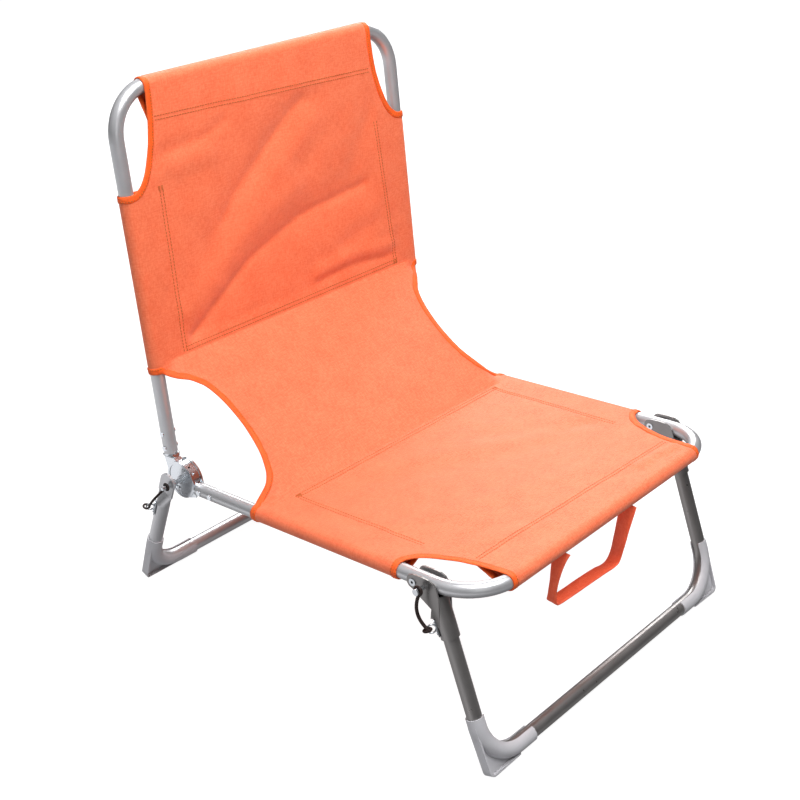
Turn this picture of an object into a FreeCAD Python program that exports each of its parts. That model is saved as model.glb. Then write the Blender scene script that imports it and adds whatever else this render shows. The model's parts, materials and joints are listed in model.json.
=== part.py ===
import FreeCAD, Part
import math
import os

os.makedirs("parts", exist_ok=True)

# Folding camp chair, in millimetres.
# X runs across the chair, -Y is the front, +Z is up, the floor is Z = 0.
# "left" and "right" are the sitter's: left is +X, right is -X.

# ---------------------------------------------------------------- dimensions
TUBE_R = 9.5            # all frame tubes are 19 mm outside
TUBE_BORE = 8.3
RAIL_X = 250.0          # rail centre to chair centre
REAR_LEG_X = 277.0      # the rear legs stand outside the rails
SEAT_BEND_R = 62.0      # centreline radii of the tube bends
BACK_BEND_R = 60.0
LEG_BEND_R = 55.0

HINGE_Y = 212.2         # back hinge axis
HINGE_Z = 177.5
SEAT_TILT = 8.0         # the seat rises towards the front
BACK_LEAN = 10.0        # the back leans this far from upright
RAIL_DROP = 9.5         # rail centreline below the hinge axis
BACK_SET = 22.5         # back tube centreline behind the hinge axis
SEAT_REACH = 505.0      # hinge axis to front bar, along the seat
BACK_REACH = 512.0      # hinge axis to top bar, along the back
SEAT_MOUTH = 27.6       # where the seat tube starts
BACK_MOUTH = 33.5       # where the back tube starts

FRONT_PIVOT = 415.0     # front leg pivot, along the seat
FRONT_LEAN = 24.3
FRONT_SET = 22.5        # front leg axis ahead of its pivot
FRONT_TOP = 21.0        # top end of the front leg tube below the pivot
REAR_LEAN = 17.4
REAR_SET = 5.0          # rear leg axis behind the hinge axis
BAR_Z = 12.5            # height of both ground bars

PLATE_IN = 5.8          # hinge plates, measured from the rail's plane
PLATE_OUT = 7.8
HUB_HALF = 5.6
HUB_R = 25.0
DISC_R = 26.0
TEETH = 24
TOOTH_TIP_R = 20.8
TOOTH_ROOT_R = 22.3
AXLE_R = 4.0
STUD_R = 3.0
STUD_END = 41.0
PAWL_PIN_R = 16.5       # pawl pin to hinge axis
PAWL_ANGLE = 110.0      # direction of the pawl pin, from the rear, upwards

EAR_IN = 10.0           # bracket ears, measured from the rail's plane
EAR_OUT = 12.0
RIVET_R = 3.0
PIN_R = 2.8
PIN_ALONG = 15.6        # lock pin ahead of the pivot rivet
PIN_OVER = -2.0         # lock pin above the rail centreline
PIN_REACH = 26.0        # outer end of the lock pin, from the rail's plane

CLOTH = 1.0
SLEEVE_R = 9.8          # inner radius of the cloth sleeves
BINDING = 8.0
BACK_CLOTH_LOW = 148.0  # where the back sleeves start, along the back
SEAT_CLOTH_LOW = 138.0  # where the seat sleeves start, along the seat
BACK_CUT_X = 47.0       # corner cut-outs are quarter ellipses
BACK_CUT = 127.0
SEAT_CUT_X = 50.0
SEAT_CUT = 118.0
SEAM = 160.0            # cross seams, where the cloth leaves both frames
LOOSE_X = 225.5         # half width of the cloth at the cross seams

SIDES = (("right", -1), ("left", 1))


# ------------------------------------------------------------------- helpers
def yz(angle):
    """Unit direction in the YZ plane, in degrees from +Y towards +Z."""
    a = math.radians(angle)
    return (math.cos(a), math.sin(a))


class Plane:
    """A tilted pair of directions in the YZ plane, with its own origin."""

    def __init__(self, y, z, along_angle, over_angle):
        self.o = (y, z)
        self.u = yz(along_angle)
        self.v = yz(over_angle)

    def at(self, along, over, x=0.0):
        y = self.o[0] + along * self.u[0] + over * self.v[0]
        z = self.o[1] + along * self.u[1] + over * self.v[1]
        return FreeCAD.Vector(x, y, z)

    def way(self, along, over):
        y = along * self.u[0] + over * self.v[0]
        z = along * self.u[1] + over * self.v[1]
        return FreeCAD.Vector(0, y, z)


SEAT = Plane(HINGE_Y, HINGE_Z, 180.0 - SEAT_TILT, 90.0 - SEAT_TILT)
BACK = Plane(HINGE_Y, HINGE_Z, 90.0 - BACK_LEAN, 180.0 - BACK_LEAN)
PIVOT = SEAT.at(FRONT_PIVOT, -RAIL_DROP)
FRONT = Plane(PIVOT.y, PIVOT.z, 270.0 - FRONT_LEAN, 180.0 - FRONT_LEAN)
REAR = Plane(HINGE_Y, HINGE_Z, 270.0 + REAR_LEAN, REAR_LEAN)
X_WAY = FreeCAD.Vector(1, 0, 0)


def reach(plane, over):
    """Distance along a leg plane at which its axis is BAR_Z high."""
    start = plane.at(0, over).z
    return (start - BAR_Z) / -plane.u[1]


FRONT_REACH = reach(FRONT, FRONT_SET)
REAR_REACH = reach(REAR, REAR_SET)


def rod(p, q, r):
    """Solid cylinder from p to q."""
    d = q.sub(p)
    return Part.makeCylinder(r, d.Length, p, d)


def across(plane, along, over, x0, x1, r):
    """Cylinder along X between two distances from the chair's centre."""
    lo, hi = min(x0, x1), max(x0, x1)
    return Part.makeCylinder(r, hi - lo, plane.at(along, over, lo), X_WAY)


def slab(plane, outline, x0, x1):
    """Prism along X of an outline given as (along, over) pairs."""
    lo, hi = min(x0, x1), max(x0, x1)
    pts = [plane.at(a, b, lo) for a, b in outline]
    face = Part.Face(Part.makePolygon(pts + pts[:1]))
    return face.extrude(FreeCAD.Vector(hi - lo, 0, 0))


def sheet(plane, outline, over0, over1):
    """Prism across a plane of an outline given as (x, along) pairs."""
    pts = [plane.at(a, over0, x) for x, a in outline]
    face = Part.Face(Part.makePolygon(pts + pts[:1]))
    return face.extrude(plane.way(0, over1 - over0))


def bent(points, bend):
    """Wire through points with each inner corner rounded."""
    edges = []
    start = points[0]
    for i in range(1, len(points) - 1):
        p = points[i]
        d0 = p.sub(points[i - 1]).normalize()
        d1 = points[i + 1].sub(p).normalize()
        turn = math.acos(max(-1.0, min(1.0, d0.dot(d1))))
        cut = bend * math.tan(turn / 2)
        a = p.sub(d0 * cut)
        b = p.add(d1 * cut)
        inward = d1.sub(d0).normalize()
        mid = p.add(inward * (bend / math.cos(turn / 2) - bend))
        edges.append(Part.makeLine(start, a))
        edges.append(Part.Arc(a, mid, b).toShape())
        start = b
    edges.append(Part.makeLine(start, points[-1]))
    return Part.Wire(edges)


def sweep(wire, r):
    """Round bar of radius r along a wire."""
    edge = wire.OrderedEdges[0]
    p = edge.valueAt(edge.FirstParameter)
    d = edge.tangentAt(edge.FirstParameter)
    ring = Part.Wire(Part.makeCircle(r, p, d))
    return wire.makePipeShell([ring], True, False)


def hollow(points, bend):
    """Frame tube along points."""
    wire = bent(points, bend)
    return sweep(wire, TUBE_R).cut(sweep(wire, TUBE_BORE))


def ring_about(p, d, big, small):
    """Torus round direction d."""
    return Part.makeTorus(big, small, p, d)


def group(shapes):
    return Part.makeCompound(shapes)


def joined(shapes):
    """One solid from touching shapes."""
    body = shapes[0]
    for s in shapes[1:]:
        body = body.fuse(s)
    return body.removeSplitter()


def other_side(shape):
    """Mirror image across the chair's centre."""
    return shape.mirror(FreeCAD.Vector(0, 0, 0), X_WAY)


def save(name, shape):
    shape.exportStep("parts/" + name + ".step")


# --------------------------------------------------------------- hinge plates
def hinge_plate(side, face):
    """Seat half of the hinge: one pressed plate with its half socket."""
    x0 = side * RAIL_X
    sign = side * face
    near = x0 + sign * PLATE_IN
    far = x0 + sign * PLATE_OUT
    lip = x0 + sign * (PLATE_OUT + 0.8)
    drop = -RAIL_DROP
    disc = across(SEAT, 0, 0, near, far, DISC_R)
    rim = across(SEAT, 0, 0, far, lip, DISC_R)
    rim = rim.cut(across(SEAT, 0, 0, far, lip, DISC_R - 3.2))
    tongue = slab(
        SEAT,
        [(2, -25.9), (SEAT_MOUTH - 0.2, drop - 9.6),
         (SEAT_MOUTH - 0.2, drop + 9.6), (24, 9), (2, 9)],
        near, far,
    )
    half = x0 + sign * 0.15
    box = slab(SEAT, [(25.4, -40), (70, -40), (70, 20), (25.4, 20)],
               half, x0 + sign * 12)
    collar = rod(SEAT.at(25.4, drop, x0), SEAT.at(SEAT_MOUTH - 0.2, drop, x0),
                 9.6)
    spigot = rod(SEAT.at(25.4, drop, x0), SEAT.at(68, drop, x0),
                 TUBE_BORE - 0.05)
    spigot = spigot.cut(
        rod(SEAT.at(27.4, drop, x0), SEAT.at(69, drop, x0), 6.3))
    socket = joined([collar, spigot]).common(box)
    plate = joined([disc, tongue, rim, socket])
    plate = plate.cut(across(SEAT, 0, 0, x0 - 20, x0 + 20, AXLE_R + 0.03))
    for a in (35, 57):
        plate = plate.cut(across(SEAT, a, drop, x0 - 20, x0 + 20, 2.03))
    if face > 0:
        for angle in (PAWL_ANGLE, PAWL_ANGLE - 180):
            y, z = yz(angle)
            p = FreeCAD.Vector(x0 - 20, HINGE_Y + PAWL_PIN_R * y,
                               HINGE_Z + PAWL_PIN_R * z)
            plate = plate.cut(Part.makeCylinder(2.03, 40, p, X_WAY))
    return plate


def hinge_hub(side):
    """Back half of the hinge: toothed drum, neck and spigot."""
    x0 = side * RAIL_X
    lo, hi = x0 - HUB_HALF, x0 + HUB_HALF
    drum = across(BACK, 0, 0, lo, hi, HUB_R)
    neck = slab(
        BACK,
        [(0, -24.9), (14, -28.5), (27, -31), (27, -11), (21, -3), (0, 0)],
        lo, hi,
    )
    body = drum.fuse(neck)
    low = [BACK.at(27, b, x0 + s * HUB_HALF)
           for b, s in ((-31, -1), (-11, -1), (-11, 1), (-31, 1))]
    mouth = 32.0
    tip = []
    for k in range(4):
        c = math.radians(225 + 90 * k)
        tip.append(BACK.at(mouth, -BACK_SET + 13.0 * math.cos(c),
                           x0 + 13.0 * math.sin(c)))
    order = [tip[0], tip[3], tip[2], tip[1]]
    flare = Part.makeLoft(
        [Part.makePolygon(low + low[:1]), Part.makePolygon(order + order[:1])],
        True, True,
    )
    round_off = rod(BACK.at(20, -21.5, x0), BACK.at(mouth, -BACK_SET, x0), 11)
    flare = flare.common(round_off)
    cap = rod(BACK.at(mouth - 1, -BACK_SET, x0),
              BACK.at(BACK_MOUTH - 0.2, -BACK_SET, x0), 9.6)
    spigot = rod(BACK.at(mouth - 1, -BACK_SET, x0),
                 BACK.at(75, -BACK_SET, x0), TUBE_BORE - 0.05)
    bore = rod(BACK.at(mouth + 1, -BACK_SET, x0),
               BACK.at(76, -BACK_SET, x0), 6.3)
    body = joined([body, flare, cap, spigot.cut(bore)])
    outer = x0 + side * HUB_HALF
    inner = x0 - side * HUB_HALF
    web = side * 1.5
    body = body.cut(across(BACK, 0, 0, x0 - web, inner, TOOTH_ROOT_R))
    body = body.cut(across(BACK, 0, 0, x0 + web, outer, TOOTH_TIP_R))
    for k in range(TEETH):
        body = body.cut(tooth_gap(x0 + web, outer, 360.0 * k / TEETH))
    body = body.cut(across(BACK, 0, 0, lo, hi, AXLE_R + 0.05))
    for a in (41, 62):
        body = body.cut(across(BACK, a, -BACK_SET, x0 - 20, x0 + 20, 2.03))
    for angle in (38, 62):
        y, z = yz(180 - angle)
        p = FreeCAD.Vector(x0 + side * 3.2, HINGE_Y, HINGE_Z)
        d = FreeCAD.Vector(0, y, z)
        body = body.cut(Part.makeCylinder(1.6, 30, p.add(d * 21), d))
    return body


def tooth_gap(x0, x1, angle):
    """One gap between two inner teeth of the drum."""
    lo, hi = min(x0, x1), max(x0, x1)
    pts = []
    for r, turn in ((TOOTH_TIP_R - 0.3, -5.2), (TOOTH_ROOT_R, -2.6),
                    (TOOTH_ROOT_R, 2.6), (TOOTH_TIP_R - 0.3, 5.2)):
        y, z = yz(PAWL_TIP_ANGLE + angle + turn)
        pts.append(FreeCAD.Vector(lo, HINGE_Y + r * y, HINGE_Z + r * z))
    face = Part.Face(Part.makePolygon(pts + pts[:1]))
    return face.extrude(FreeCAD.Vector(hi - lo, 0, 0))


# The pawl is a short lever on its pin. Its nose meets the drum at this
# direction from the hinge axis, once the lever has swung out PAWL_SWING.
PAWL_TIP_ANGLE = 150.0
PAWL_SWING = 12.0


def pawl(side):
    """Pawl with its nose swung in, clear of the teeth."""
    x0 = side * (RAIL_X + 2.2)
    x1 = side * (RAIL_X + 5.2)
    lo, hi = min(x0, x1), max(x0, x1)
    py, pz = yz(PAWL_ANGLE)
    pin = FreeCAD.Vector(lo, HINGE_Y + PAWL_PIN_R * py,
                         HINGE_Z + PAWL_PIN_R * pz)
    pts = []
    for r, turn in ((18.6, -6.5), (21.7, -2.0), (21.7, 2.0), (19.8, 5.5),
                    (16.0, 8.0), (13.2, 2.0)):
        y, z = yz(PAWL_TIP_ANGLE + turn)
        pts.append(FreeCAD.Vector(lo, HINGE_Y + r * y, HINGE_Z + r * z))
    back_y, back_z = yz(PAWL_ANGLE + 4)
    upper = FreeCAD.Vector(lo, HINGE_Y + 19.0 * back_y, HINGE_Z + 19.0 * back_z)
    lower = FreeCAD.Vector(lo, HINGE_Y + 13.4 * back_y, HINGE_Z + 13.4 * back_z)
    outline = [upper] + pts + [lower]
    face = Part.Face(Part.makePolygon(outline + outline[:1]))
    lever = face.extrude(FreeCAD.Vector(hi - lo, 0, 0))
    eye = Part.makeCylinder(3.4, hi - lo, pin, X_WAY)
    body = lever.fuse(eye)
    start = pin.sub(FreeCAD.Vector(5, 0, 0))
    body = body.cut(Part.makeCylinder(2.08, 20, start, X_WAY))
    body = body.removeSplitter()
    body.rotate(pin, X_WAY, PAWL_SWING)
    return body


def pawl_pin(side, angle):
    """Rivet through the outer plate; its shank carries the pawl or spring."""
    x0 = side * RAIL_X
    y, z = yz(angle)
    at = FreeCAD.Vector(0, HINGE_Y + PAWL_PIN_R * y, HINGE_Z + PAWL_PIN_R * z)
    tip = FreeCAD.Vector(x0 + side * 1.9, at.y, at.z)
    out = FreeCAD.Vector(x0 + side * (PLATE_OUT + 0.01), at.y, at.z)
    top = FreeCAD.Vector(out.x + side * 1.4, at.y, at.z)
    way = FreeCAD.Vector(side, 0, 0)
    shank = rod(tip, top, 2.0)
    head = Part.makeCone(4.2, 2.6, 1.4, out, way)
    return joined([shank, head])


def pawl_spring(side):
    """Bent wire from the lower pin round the axle to the pawl's eye."""
    x = side * (RAIL_X + 3.6)
    pts = []
    for a in (-64, -20, 25, 70, 96):
        y, z = yz(a)
        r = 10.5 if a > -50 else 14.2
        pts.append(FreeCAD.Vector(x, HINGE_Y + r * y, HINGE_Z + r * z))
    curve = Part.BSplineCurve()
    curve.interpolate(pts)
    wire = Part.Wire(curve.toShape())
    y, z = yz(PAWL_ANGLE - 180)
    c = FreeCAD.Vector(x - 1, HINGE_Y + PAWL_PIN_R * y,
                       HINGE_Z + PAWL_PIN_R * z)
    coil = Part.makeCylinder(3.2, 2, c, X_WAY)
    coil = coil.cut(Part.makeCylinder(2.05, 2, c, X_WAY))
    return joined([sweep(wire, 0.6), coil])


def axle(side):
    """Stepped stud: hub axle inside, rear leg pivot outside."""
    x0 = side * RAIL_X
    c = FreeCAD.Vector(0, HINGE_Y, HINGE_Z)
    at = lambda x: FreeCAD.Vector(x0 + side * x, c.y, c.z)
    inner_head = rod(at(-PLATE_OUT - 2.2), at(-PLATE_OUT - 0.02), 6.0)
    core = rod(at(-PLATE_OUT - 1), at(PLATE_OUT + 0.02), AXLE_R)
    collar = rod(at(PLATE_OUT + 0.02), at(PLATE_OUT + 2.2), 6.0)
    stud = rod(at(PLATE_OUT), at(STUD_END - 1), STUD_R)
    tip = Part.makeCone(STUD_R, STUD_R - 0.8, 1.0, at(STUD_END - 1),
                        FreeCAD.Vector(side, 0, 0))
    return joined([inner_head, core, collar, stud, tip])


def axle_spacer(side):
    """Plain bush between the hinge and the rear leg."""
    x = side * (RAIL_X + 18.4)
    end = side * (REAR_LEG_X - 2.0)
    outer = across(REAR, 0, 0, x, end, 5.2)
    return outer.cut(across(REAR, 0, 0, x, end, STUD_R + 0.05))


def socket_rivets(plane, over, places):
    """Rivets holding a tube to its hinge socket, both sides of the chair."""
    out = []
    for _, side in SIDES:
        x0 = side * RAIL_X
        for a in places:
            shank = across(plane, a, over, x0 - 10.6, x0 + 10.6, 2.0)
            out.append(shank.fuse([
                across(plane, a, over, x0 + s * 9.35, x0 + s * 10.6, 3.6)
                for s in (-1, 1)
            ]).removeSplitter())
    return group(out)


def head_room(shape, plane, over, places):
    """Holes and flat seats in a tube for its socket rivets."""
    for _, side in SIDES:
        x0 = side * RAIL_X
        for a in places:
            shape = shape.cut(across(plane, a, over, x0 - 20, x0 + 20, 2.03))
            for s in (-1, 1):
                shape = shape.cut(
                    across(plane, a, over, x0 + s * 9.3, x0 + s * 20, 3.65))
    return shape


# ---------------------------------------------------------------- frame tubes
def u_points(plane, start, over, far):
    """Corners of a U lying in a plane, open at the hinges."""
    return [plane.at(start, over, -RAIL_X), plane.at(far, over, -RAIL_X),
            plane.at(far, over, RAIL_X), plane.at(start, over, RAIL_X)]


def seat_tube():
    body = hollow(u_points(SEAT, SEAT_MOUTH, -RAIL_DROP, SEAT_REACH),
                  SEAT_BEND_R)
    body = head_room(body, SEAT, -RAIL_DROP, (35, 57))
    for _, side in SIDES:
        x0 = side * RAIL_X
        body = body.cut(across(SEAT, FRONT_PIVOT, -RAIL_DROP, x0 - 20, x0 + 20,
                               RIVET_R + 0.06))
        body = body.cut(across(SEAT, FRONT_PIVOT + PIN_ALONG,
                               PIN_OVER - RAIL_DROP, x0, x0 + side * 20,
                               PIN_R + 0.2))
    return body


def back_tube():
    body = hollow(u_points(BACK, BACK_MOUTH, -BACK_SET, BACK_REACH),
                  BACK_BEND_R)
    return head_room(body, BACK, -BACK_SET, (41, 62))


def front_leg_tube():
    far, set_ = FRONT_REACH, FRONT_SET
    pts = [FRONT.at(FRONT_TOP, set_, -RAIL_X), FRONT.at(far, set_, -RAIL_X),
           FRONT.at(far, set_, RAIL_X), FRONT.at(FRONT_TOP, set_, RAIL_X)]
    body = hollow(pts, LEG_BEND_R)
    for _, side in SIDES:
        for a in CLIP_RIVETS_FRONT:
            body = body.cut(clip_hole(FRONT, set_, side * RAIL_X, side, a))
    return body


def rear_leg_tube():
    """Rear U, with each end pressed flat round its pivot stud."""
    far, set_ = REAR_REACH, REAR_SET
    pts = [REAR.at(38, set_, -REAR_LEG_X), REAR.at(far, set_, -REAR_LEG_X),
           REAR.at(far, set_, REAR_LEG_X), REAR.at(38, set_, REAR_LEG_X)]
    body = hollow(pts, LEG_BEND_R)
    down = REAR.way(1, 0)
    for _, side in SIDES:
        x = side * REAR_LEG_X
        top = REAR.at(38, set_, x)
        low = REAR.at(17, set_, x)
        wide = REAR.way(0, 1)
        round_end = Part.Wire(Part.makeCircle(TUBE_R, top, down))
        oval = Part.Ellipse(
            low.add(wide * 13.5), low.add(FreeCAD.Vector(1.6, 0, 0)), low)
        flat_end = Part.Wire(oval.toShape())
        taper = Part.makeLoft([round_end, flat_end], True)
        plate = slab(REAR, [(20, -8), (20, 18), (-1, 18), (-1, -8)],
                     x - 1.5, x + 1.5)
        crown = across(REAR, -1, set_, x - 1.5, x + 1.5, 13.0)
        end = joined([taper, plate, crown])
        end = end.cut(across(REAR, 0, 0, x - 20, x + 20, STUD_R + 0.08))
        body = body.fuse(end)
        for a in CLIP_RIVETS_REAR:
            body = body.cut(clip_hole(REAR, set_, x, side, a))
    return body.removeSplitter()


# ----------------------------------------------------------- front leg bracket
def rail_to_leg(along, over):
    """A point given along and above the rail from the pivot, in FRONT."""
    p = SEAT.at(FRONT_PIVOT + along, -RAIL_DROP + over)
    d = FreeCAD.Vector(0, p.y - FRONT.o[0], p.z - FRONT.o[1])
    return (d.y * FRONT.u[0] + d.z * FRONT.u[1],
            d.y * FRONT.v[0] + d.z * FRONT.v[1])


def bracket(side):
    """Steel fork: two ears on the rail, rolled into a sleeve on the leg."""
    x0 = side * RAIL_X
    rail = [(-9.0, 3.5), (-6.0, 8.0), (0, 10.4), (14, 10.8), (24, 10.2),
            (31, 7.6), (34.5, 2.5)]
    rear = [(26, -27.5), (12, -18.5), (0, -10.2), (-6.5, -7.0), (-9.4, -2.5)]
    outline = [rail_to_leg(a, b) for a, b in rail]
    outline += [(20, 33.6), (30, 30.4), (44, 26.0), (58, 21.0), (46, 11.4)]
    outline += [rail_to_leg(a, b) for a, b in rear]
    parts = []
    for s in (-1, 1):
        parts.append(slab(FRONT, outline, x0 + s * EAR_IN, x0 + s * EAR_OUT))
    sleeve_top, sleeve_end = 13.0, 74.0
    outer = rod(FRONT.at(sleeve_top, FRONT_SET, x0),
                FRONT.at(sleeve_end, FRONT_SET, x0), 11.7)
    low, high = -RAIL_DROP - 10.6, 20.0
    a, b = FRONT_PIVOT - 40, FRONT_PIVOT + 70
    outer = outer.cut(slab(SEAT, [(a, low), (b, low), (b, high), (a, high)],
                           x0 - EAR_IN, x0 + EAR_IN))
    body = joined([outer] + parts)
    bore = rod(FRONT.at(10, FRONT_SET, x0),
               FRONT.at(sleeve_end + 5, FRONT_SET, x0), TUBE_R + 0.03)
    body = body.cut(bore)
    hole = across(FRONT, 0, 0, x0 - 20, x0 + 20, RIVET_R + 0.02)
    body = body.cut(hole)
    a, b = rail_to_leg(PIN_ALONG, PIN_OVER)
    body = body.cut(across(FRONT, a, b, x0 + side * 5, x0 + side * 20,
                           PIN_R + 0.08))
    for a in CLIP_RIVETS_FRONT:
        body = body.cut(clip_hole(FRONT, FRONT_SET, x0, side, a))
    room = clip_box(FRONT, FRONT_SET, x0, side, CLIP_RIVETS_FRONT, 0.4, 12.0)
    return body.cut(room)


def pivot_rivet(side):
    """Tubular rivet: the front leg turns on it in the rail's hole."""
    x0 = side * RAIL_X
    shank = across(FRONT, 0, 0, x0 - 12.6, x0 + 12.6, RIVET_R)
    heads = [across(FRONT, 0, 0, x0 + s * (EAR_OUT + 0.02),
                    x0 + s * (EAR_OUT + 1.4), 4.7) for s in (-1, 1)]
    body = joined([shank] + heads)
    return body.cut(across(FRONT, 0, 0, x0 - 20, x0 + 20, 1.8))


# The catch clip sits on the outer rear quarter of each leg.
CLIP_ANGLE = 38.0
CLIP_RIVETS_FRONT = (50.0, 65.0)
CLIP_RIVETS_REAR = (40.5, 55.5)
CLIP_HALF = 11.0


def clip_way(plane, side):
    """Unit direction from a leg's axis through its clip."""
    c = math.radians(CLIP_ANGLE)
    rearward = -1 if plane is FRONT else 1
    back = plane.way(0, rearward * math.sin(c))
    return FreeCAD.Vector(side * math.cos(c), 0, 0).add(back)


def clip_hole(plane, set_, x0, side, along):
    p = plane.at(along, set_, x0)
    return Part.makeCylinder(1.53, 20, p, clip_way(plane, side))


def clip_rivets(plane, set_, leg_x, places):
    """Small rivets holding the catch clips, both sides of the chair."""
    out = []
    skin = skin_of(plane)
    for _, side in SIDES:
        w = clip_way(plane, side)
        for a in places:
            p = plane.at(a, set_, side * leg_x)
            shank = Part.makeCylinder(1.5, skin + 2.6 - 7.6, p.add(w * 7.6), w)
            head = Part.makeCylinder(2.3, 1.0, p.add(w * (skin + 1.62)), w)
            out.append(joined([shank, head]))
    return group(out)


def skin_of(plane):
    """Radius on which a clip's base lies."""
    return 11.7 if plane is FRONT else TUBE_R


def clip_box(plane, set_, x0, side, places, gap, height):
    """Box on a leg's skin where a clip lies, with a gap all round it."""
    w = clip_way(plane, side)
    t = w.cross(plane.way(1, 0))
    mid = (places[0] + places[1]) / 2
    c = plane.at(mid, set_, x0).add(w * (skin_of(plane) + 0.05))
    half, wide = CLIP_HALF + gap, 5.0 + gap
    corner = c.sub(t * wide).sub(plane.way(half, 0))
    return box_on(corner, t * (2 * wide), plane.way(2 * half, 0), w * height)


def catch_clip(plane, set_, leg_x, side, places):
    """Chromed clip: a base on the leg and an open hook for the strap."""
    skin = skin_of(plane)
    w = clip_way(plane, side)
    t = w.cross(plane.way(1, 0))
    x0 = side * leg_x
    mid = (places[0] + places[1]) / 2
    base = clip_box(plane, set_, x0, side, places, 0.0, 1.55)
    root = plane.at(mid, set_, x0).add(w * (skin + 1.0))
    hook = ring_about(root.add(w * 5.6), t, 5.2, 1.1)
    body = joined([base, hook])
    for a in places:
        body = body.cut(clip_hole(plane, set_, x0, side, a))
    axis = rod(plane.at(-40, set_, x0), plane.at(160, set_, x0), skin + 0.03)
    return body.cut(axis)


def box_on(corner, a, b, c):
    """Box from a corner and three edge vectors."""
    pts = [corner, corner.add(a), corner.add(a).add(b), corner.add(b)]
    face = Part.Face(Part.makePolygon(pts + pts[:1]))
    return face.extrude(c)


def hook_end(plane, set_, leg_x, side, places):
    """Where the strap's lower eye hangs on its hook."""
    w = clip_way(plane, side)
    mid = (places[0] + places[1]) / 2
    p = plane.at(mid, set_, side * leg_x)
    return p.add(w * (skin_of(plane) + 11.8))


def lock_pin(side):
    """Front lock pin, its tip just short of the rail's wall."""
    x0 = side * RAIL_X
    a, b = rail_to_leg(PIN_ALONG, PIN_OVER)
    shank = across(FRONT, a, b, x0 + side * 9.9, x0 + side * PIN_REACH, PIN_R)
    head = across(FRONT, a, b, x0 + side * (PIN_REACH - 2.4),
                  x0 + side * PIN_REACH, 4.2)
    return joined([shank, head])


def rubber_strap(eye, eye_way, hook, hook_way, sag, thick):
    """Moulded strap: an eye at each end and a round cord between."""
    upper = ring_about(eye, eye_way, 3.1 + thick, thick)
    lower = ring_about(hook, hook_way, 2.6 + thick, thick)
    span = hook.sub(eye).normalize()
    down = span.sub(eye_way * span.dot(eye_way)).normalize()
    up = span.sub(hook_way * span.dot(hook_way)).normalize()
    p = eye.add(down * (3.1 + thick))
    q = hook.sub(up * (2.6 + thick))
    mid = p.add(q).multiply(0.5).add(sag)
    curve = Part.BSplineCurve()
    curve.interpolate([p, mid, q])
    cord = sweep(Part.Wire(curve.toShape()), thick * 1.2)
    return joined([upper, cord, lower])


def front_strap(side):
    a, b = rail_to_leg(PIN_ALONG, PIN_OVER)
    eye = FRONT.at(a, b, side * (RAIL_X + 20.5))
    hook = hook_end(FRONT, FRONT_SET, RAIL_X, side, CLIP_RIVETS_FRONT)
    sag = FreeCAD.Vector(side * 3.0, 7.0, -4.0)
    return rubber_strap(eye, X_WAY, hook, FRONT.way(1, 0), sag, 1.8)


def rear_strap(side):
    eye = REAR.at(0, 0, side * (RAIL_X + 33.5))
    hook = hook_end(REAR, REAR_SET, REAR_LEG_X, side, CLIP_RIVETS_REAR)
    sag = FreeCAD.Vector(side * 8.0, -1.0, 0)
    return rubber_strap(eye, X_WAY, hook, REAR.way(1, 0), sag, 1.4)


# -------------------------------------------------------------------- feet
FOOT_LEG_ARM = 66.0     # cover length up the leg, from the corner
FOOT_BAR_ARM = 80.0     # and along the ground bar
FOOT_R = 11.3
FOOT_BORE = 9.65
FIN_HALF = 6.2
SLOT_HALF = 6.0
TOE_R = 8.0
TOE_OUT = 6.8           # outermost point of the toe, from the leg's axis
HEEL = 12.9             # underside of the toe, below the bar's axis
RIM = 2.4


def foot(plane, set_, far, leg_x, side):
    """Elbow cover, open inside the bend, with a webbed corner."""
    x = side * leg_x

    def elbow(leg_arm, bar_arm):
        return bent([plane.at(far - leg_arm, set_, x), plane.at(far, set_, x),
                     plane.at(far, set_, x - side * bar_arm)], LEG_BEND_R)

    outer = foot_edge(x, far, side, 0.0)
    rim = outer + list(reversed(foot_edge(x, far, side, RIM)))
    rim = sheet(plane, rim, set_ - FIN_HALF, set_ + FIN_HALF)
    web = sheet(plane, foot_edge(x, far, side, RIM / 2), set_ - 1.3,
                set_ + 1.3)
    shell = sweep(elbow(FOOT_LEG_ARM, FOOT_BAR_ARM), FOOT_R)
    body = joined([shell, rim, web])
    longer = elbow(FOOT_LEG_ARM + 2, FOOT_BAR_ARM + 2)
    body = body.cut(sweep(longer, FOOT_BORE))
    body = body.cut(foot_slot(plane, set_, longer, side))
    floor = Part.makeBox(2000, 2000, 50, FreeCAD.Vector(-1000, -1000, -50))
    return body.cut(floor)


def foot_edge(x, far, side, inset):
    """Line down the leg, round the toe and along the floor."""
    toe_r = TOE_R - inset
    cx, ca = TOE_OUT - TOE_R, far + HEEL - TOE_R
    out = [(FOOT_R - 1.4 - inset, far - 56)]
    for k in range(7):
        c = math.radians(15 * k)
        out.append((cx + toe_r * math.cos(c), ca + toe_r * math.sin(c)))
    out.append((-50.0, far + FOOT_R + 0.4 - inset))
    return [(x + side * w, a) for w, a in out]


def foot_slot(plane, set_, wire, side):
    """Bar that opens the cover on the inside of the bend."""
    edge = wire.OrderedEdges[0]
    p = edge.valueAt(edge.FirstParameter)
    v = plane.way(0, SLOT_HALF)
    inward = FreeCAD.Vector(-side * 20, 0, 0)
    pts = [p.add(v), p.add(v).add(inward), p.sub(v).add(inward), p.sub(v)]
    outline = Part.makePolygon(pts + pts[:1])
    return wire.makePipeShell([outline], True, False)


# --------------------------------------------------------------------- sling
def ellipse_points(cx, cy, rx, ry, side, steps=16):
    """Quarter ellipse from the rail to the bar, as (x, along) pairs."""
    out = []
    for k in range(steps + 1):
        t = math.radians(90.0 * k / steps)
        out.append((side * (cx - rx * math.sin(t)), cy - ry * math.cos(t)))
    return out


def mirrored(points):
    return [(-x, a) for x, a in reversed(points)]


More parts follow.
